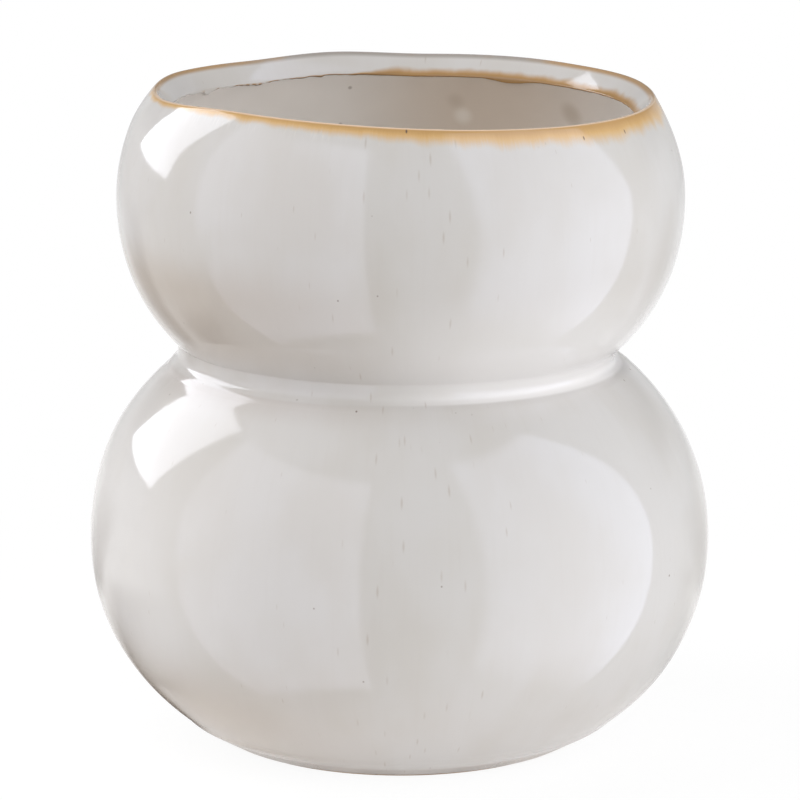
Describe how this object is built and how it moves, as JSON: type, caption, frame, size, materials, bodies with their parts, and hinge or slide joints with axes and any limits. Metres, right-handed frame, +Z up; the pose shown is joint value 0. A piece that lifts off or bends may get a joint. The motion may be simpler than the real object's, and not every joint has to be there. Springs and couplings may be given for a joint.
{
  "type": "vase",
  "caption": "Glazed stoneware vase: a small bulb stacked on a larger one, with a tight waist and a wide, thick-lipped mouth, for cut flowers and stems in water.",
  "frame": {"origin": "middle of the ring that the vase stands on, at table level", "axes": "+Z up along the axis of both bulbs; -Y towards the side seen in the picture, +X to its right"},
  "size_m": [0.18, 0.18, 0.1917],
  "materials": {
    "clay": "bare fired stoneware",
    "slip": "bare fired slip",
    "white_glaze": "glossy off-white reactive glaze, ochre at the lip",
    "beige_glaze": "satin beige lining glaze"
  },
  "bodies": {
    "root": {"base_slab": "clay", "base_seam": "slip", "lower_globe": "clay", "lower_waist_seam": "slip", "waist_collar": "clay", "upper_waist_seam": "slip", "upper_bowl": "clay", "outer_glaze": "white_glaze", "inner_glaze": "beige_glaze"}
  },
  "joints": []
}
